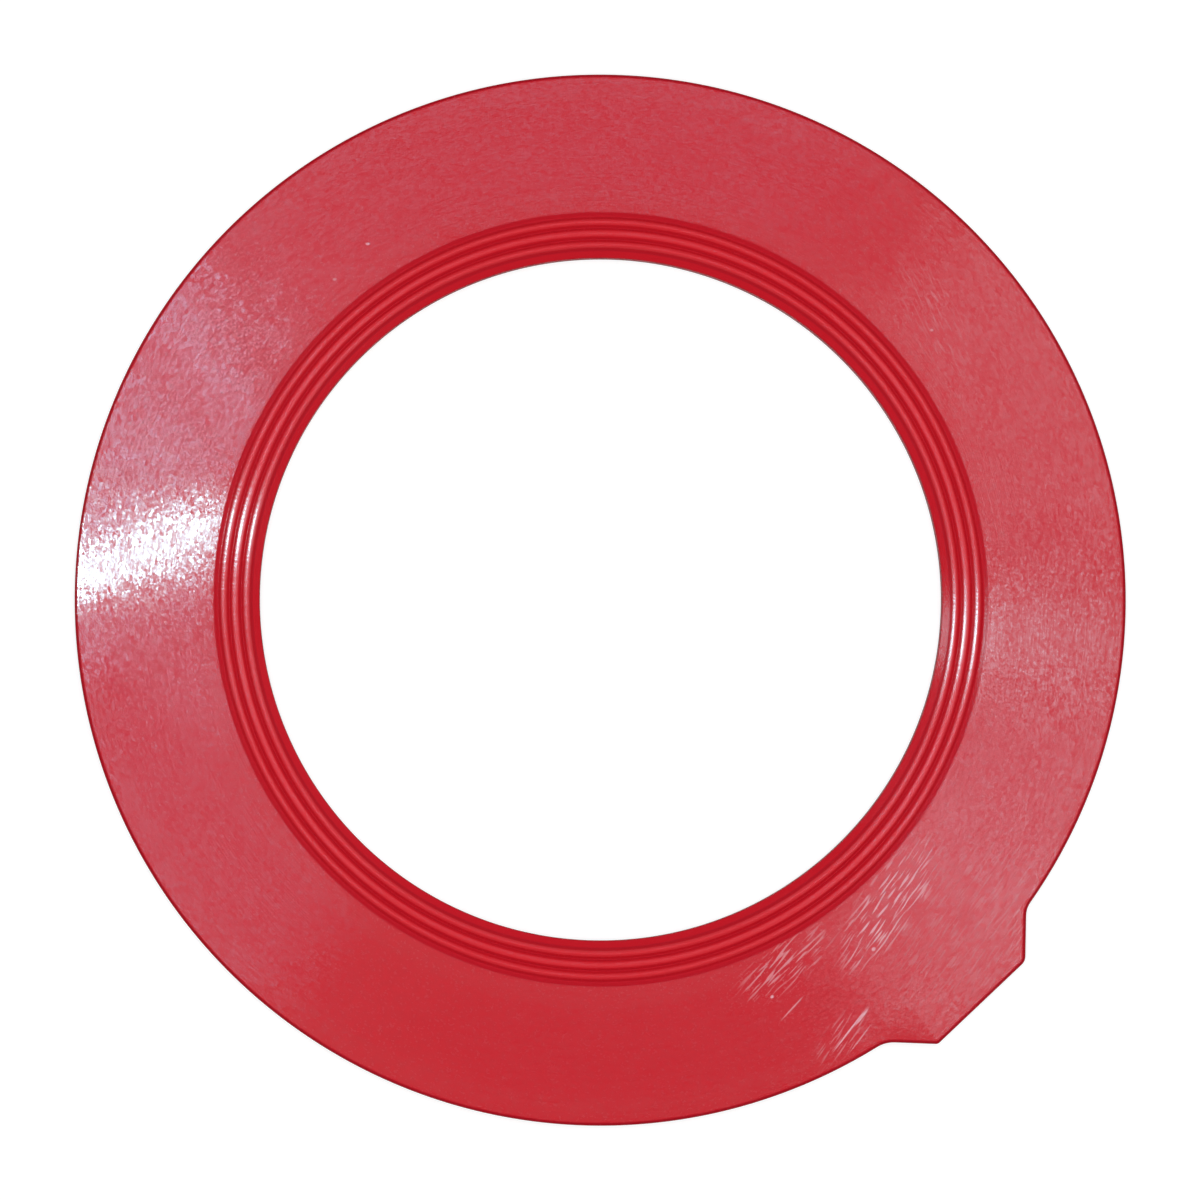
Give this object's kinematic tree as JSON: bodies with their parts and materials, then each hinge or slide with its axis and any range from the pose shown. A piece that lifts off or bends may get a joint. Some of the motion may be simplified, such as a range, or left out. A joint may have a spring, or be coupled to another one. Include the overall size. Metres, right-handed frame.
{
  "type": "flush valve seal",
  "caption": "Flat red rubber ring seal with raised sealing ribs round its bore and a pull tab on its rim, for a cistern flush valve.",
  "frame": {"origin": "centre of the bore at the underside of the ring", "axes": "+Z along the bore axis, from the plain underside towards the ribbed face; the pull tab points to the quarter between +X and -Y"},
  "size_m": [0.089, 0.089, 0.0025],
  "materials": {
    "red_rubber": "moulded, satin shine, faint circular scratches"
  },
  "bodies": {
    "root": {"seal": "red_rubber"}
  },
  "joints": []
}
